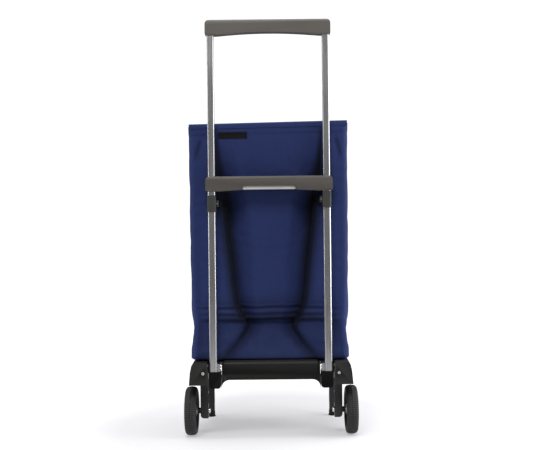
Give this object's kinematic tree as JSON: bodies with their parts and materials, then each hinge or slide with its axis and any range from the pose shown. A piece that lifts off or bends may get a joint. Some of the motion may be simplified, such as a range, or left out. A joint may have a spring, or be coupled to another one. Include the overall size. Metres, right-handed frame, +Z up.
{
  "type": "folding shopping trolley",
  "caption": "Folding shopping trolley: fabric bag with a lid on a telescopic tube frame, over a plastic base that folds up, with wheels and front legs that fold in.",
  "frame": {"origin": "on the floor, at the bottom centre of the whole object's box", "axes": "+X across the trolley to the right as seen by the person who pulls it, +Y away from that person, +Z up along the tubes"},
  "size_m": [0.443, 0.3129, 1.061],
  "materials": {
    "tube_metal": "satin",
    "lug_metal": "satin",
    "bright_steel": "polished",
    "screw_steel": "satin",
    "spring_steel": "satin",
    "grip_plastic": "matte",
    "crossbar_plastic": "matte",
    "lever_plastic": "satin",
    "collar_plastic": "satin",
    "foot_plastic": "satin",
    "base_plastic": "satin",
    "leg_plastic": "satin",
    "rail_paint": "satin",
    "guide_plastic": "satin",
    "pad_rubber": "matte",
    "rim_plastic": "satin",
    "tyre_rubber": "matte",
    "bag_fabric": "matte",
    "webbing": "matte",
    "label_fabric": "satin",
    "snap_metal": "satin"
  },
  "bodies": {
    "frame": {"outer_tube_left": "tube_metal", "outer_tube_right": "tube_metal", "tube_foot_left": "foot_plastic", "tube_foot_right": "foot_plastic", "hinge_lug_left": "lug_metal", "hinge_lug_right": "lug_metal", "lug_rivets": "bright_steel", "collar_left": "collar_plastic", "collar_right": "collar_plastic", "collar_studs": "bright_steel", "crossbar_rear_shell": "crossbar_plastic", "crossbar_front_shell": "crossbar_plastic", "crossbar_screws": "screw_steel", "lever_springs": "spring_steel", "bag_body": "bag_fabric", "hem_bar": "screw_steel", "bag_label": "label_fabric", "bag_tabs": "webbing", "snap_sockets": "snap_metal"},
    "handle": {"top_grip": "grip_plastic", "grip_screws": "screw_steel", "inner_tube_left": "tube_metal", "inner_tube_right": "tube_metal", "tube_guides": "guide_plastic"},
    "lever": {"release_lever": "lever_plastic"},
    "lock_left": {"lock_bar_left": "screw_steel"},
    "lock_right": {"lock_bar_right": "screw_steel"},
    "lid": {"bag_lid": "bag_fabric", "snap_caps": "snap_metal"},
    "base": {"rear_crossmember": "base_plastic", "deck_panel": "base_plastic", "side_member_left": "base_plastic", "side_member_right": "base_plastic", "base_screws": "screw_steel", "hinge_pins": "bright_steel", "pivot_rod_left": "bright_steel", "pivot_rod_right": "bright_steel"},
    "side_left": {"side_rail_left": "rail_paint", "wheel_arm_left": "leg_plastic", "front_leg_left": "leg_plastic", "foot_pad_left": "pad_rubber", "leg_screws_left": "screw_steel", "axle_left": "bright_steel"},
    "wheel_left": {"wheel_bush_left": "guide_plastic", "wheel_rim_left": "rim_plastic", "tyre_left": "tyre_rubber", "hub_cap_left": "rim_plastic"},
    "side_right": {"side_rail_right": "rail_paint", "wheel_arm_right": "leg_plastic", "front_leg_right": "leg_plastic", "foot_pad_right": "pad_rubber", "leg_screws_right": "screw_steel", "axle_right": "bright_steel"},
    "wheel_right": {"wheel_bush_right": "guide_plastic", "wheel_rim_right": "rim_plastic", "tyre_right": "tyre_rubber", "hub_cap_right": "rim_plastic"}
  },
  "joints": [
    {"name": "handle_slide", "type": "slide", "parent": "frame", "child": "handle", "axis": [0, 0, 1], "range_m": [-0.345, 0]},
    {"name": "lever_squeeze", "type": "slide", "parent": "frame", "child": "lever", "axis": [0, 0, 1], "range_m": [0, 0.005], "stiffness_N_per_m": 900, "springref_m": -0.003, "deforming": ["lever_springs"]},
    {"name": "lock_left_slide", "type": "slide", "parent": "frame", "child": "lock_left", "axis": [1, 0, 0], "range_m": [0, 0.003]},
    {"name": "lock_right_slide", "type": "slide", "parent": "frame", "child": "lock_right", "axis": [-1, 0, 0], "range_m": [0, 0.003]},
    {"name": "lid_hinge", "type": "hinge", "parent": "frame", "child": "lid", "pos_m": [0, -0.12625, 0.7995], "axis": [1, 0, 0], "range_deg": [0, 90]},
    {"name": "base_fold", "type": "hinge", "parent": "frame", "child": "base", "pos_m": [0, -0.10775, 0.19], "axis": [1, 0, 0], "range_deg": [0, 90], "deforming": ["bag_body"]},
    {"name": "side_fold_left", "type": "hinge", "parent": "base", "child": "side_left", "pos_m": [-0.1715, 0, 0.169], "axis": [0, -1, 0], "range_deg": [0, 90]},
    {"name": "side_fold_right", "type": "hinge", "parent": "base", "child": "side_right", "pos_m": [0.1715, 0, 0.169], "axis": [0, 1, 0], "range_deg": [0, 90]},
    {"name": "wheel_spin_left", "type": "hinge", "parent": "side_left", "child": "wheel_left", "pos_m": [-0.2065, -0.08775, 0.0625], "axis": [1, 0, 0], "continuous": true},
    {"name": "wheel_spin_right", "type": "hinge", "parent": "side_right", "child": "wheel_right", "pos_m": [0.2065, -0.08775, 0.0625], "axis": [1, 0, 0], "continuous": true}
  ],
  "couplings": [
    {"joint": "lock_left_slide", "follows": "lever_squeeze", "ratio": 0.6},
    {"joint": "lock_right_slide", "follows": "lever_squeeze", "ratio": 0.6}
  ]
}
